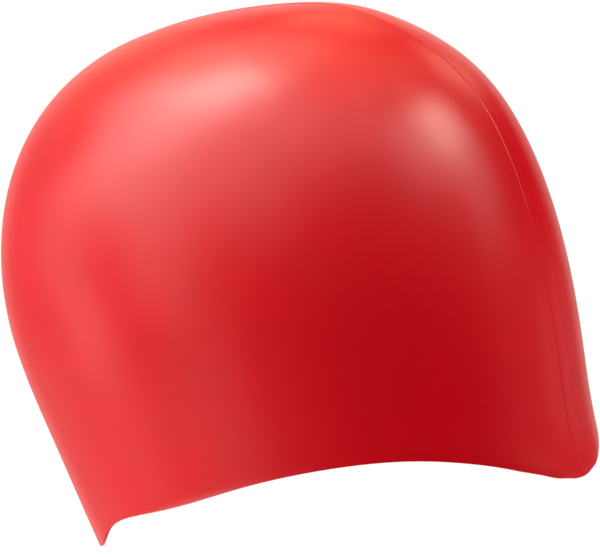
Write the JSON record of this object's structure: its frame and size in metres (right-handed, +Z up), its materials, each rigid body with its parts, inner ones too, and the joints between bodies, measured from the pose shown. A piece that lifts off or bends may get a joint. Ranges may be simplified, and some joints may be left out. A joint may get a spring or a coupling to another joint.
{
  "type": "swim cap",
  "caption": "Moulded silicone swim cap: a smooth head-shaped dome with an arched plain rim and a fine raised mould line over the crown.",
  "frame": {"origin": "middle of the cap's outline, at the level of the surface that its rim stands on", "axes": "+X out of the forehead, +Y to the wearer's left, +Z up through the crown"},
  "size_m": [0.196, 0.1528, 0.1638],
  "materials": {
    "silicone": "satin"
  },
  "bodies": {
    "root": {"cap_shell": "silicone"}
  },
  "joints": []
}
